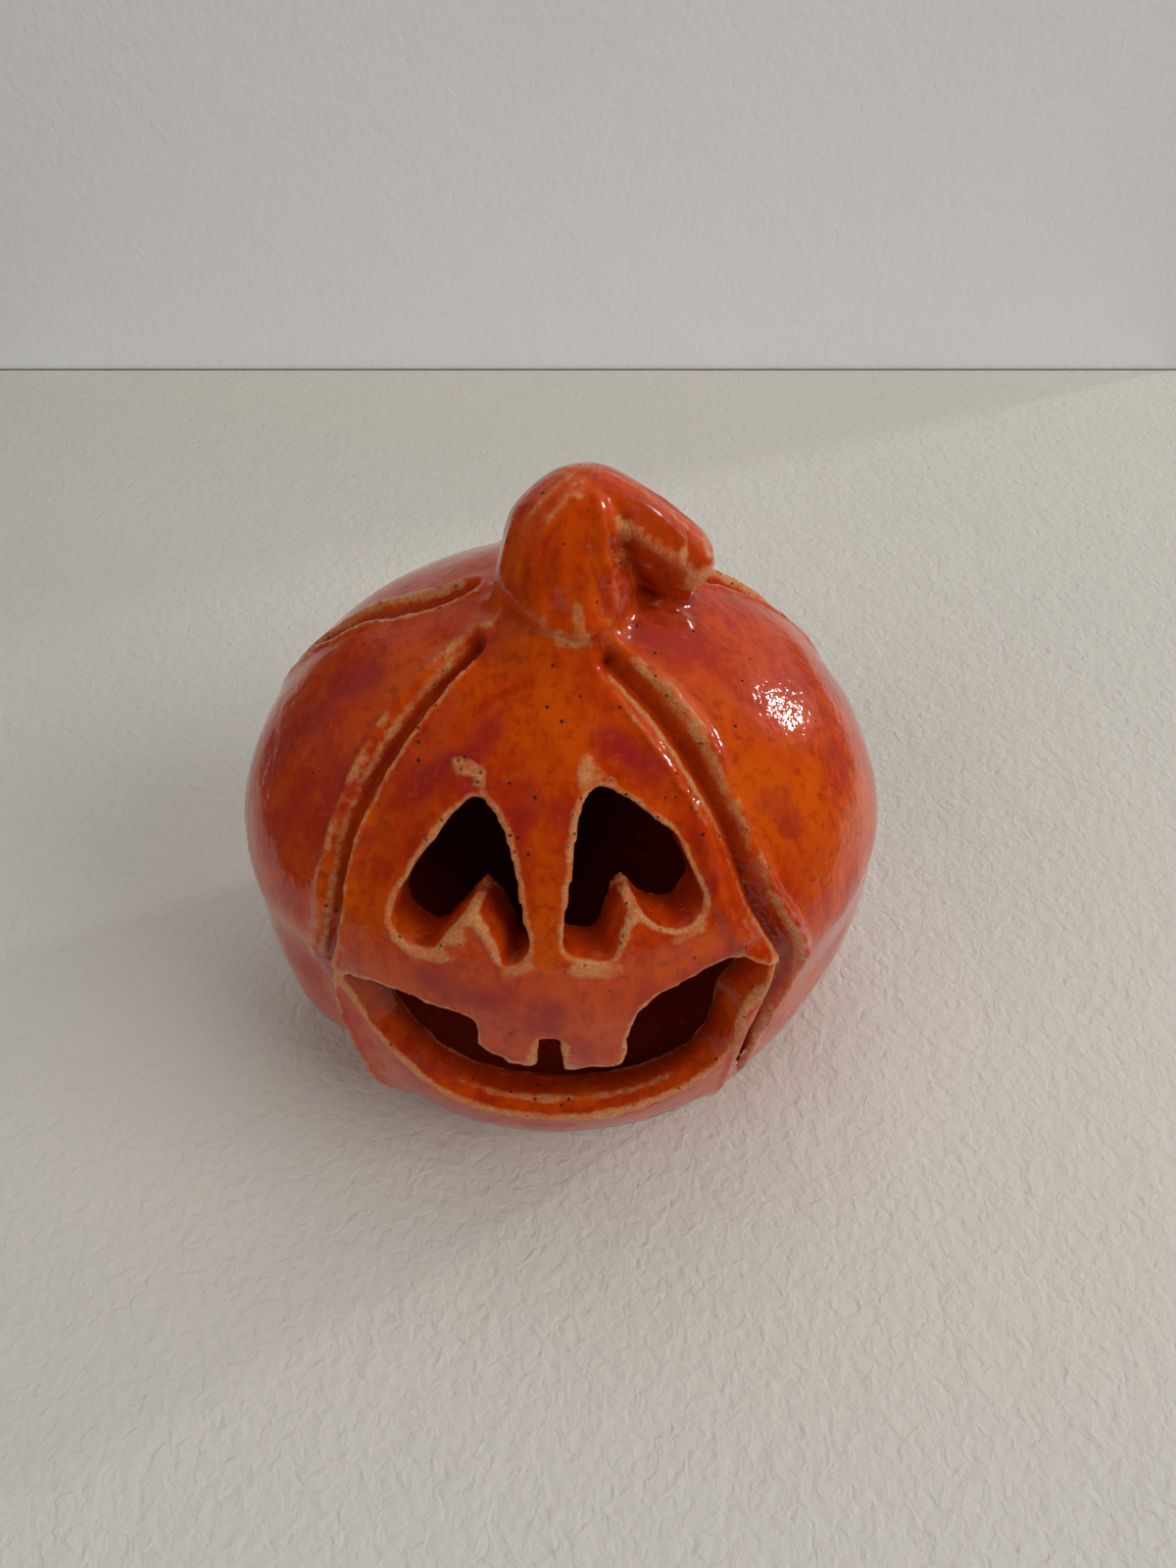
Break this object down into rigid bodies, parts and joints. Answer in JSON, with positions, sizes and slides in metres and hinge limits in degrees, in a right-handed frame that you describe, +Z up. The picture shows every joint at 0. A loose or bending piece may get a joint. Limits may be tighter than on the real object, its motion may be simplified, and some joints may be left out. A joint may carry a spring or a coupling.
{
  "type": "pumpkin lantern",
  "caption": "Hollow thick-walled pumpkin-shaped lantern with grooves, carved eyes and a toothed grin open to one chamber, a curled stalk, and a flat foot.",
  "frame": {"origin": "centre of the bounding box's bottom: the middle of the flat foot, on the surface it stands on", "axes": "+Z up through the stalk, -Y out of the carved face, +X to the right of the face as seen from the front"},
  "size_m": [0.09, 0.0776, 0.0955],
  "materials": {
    "orange_glaze": null
  },
  "bodies": {
    "root": {"pumpkin_lantern": "orange_glaze"}
  },
  "joints": []
}
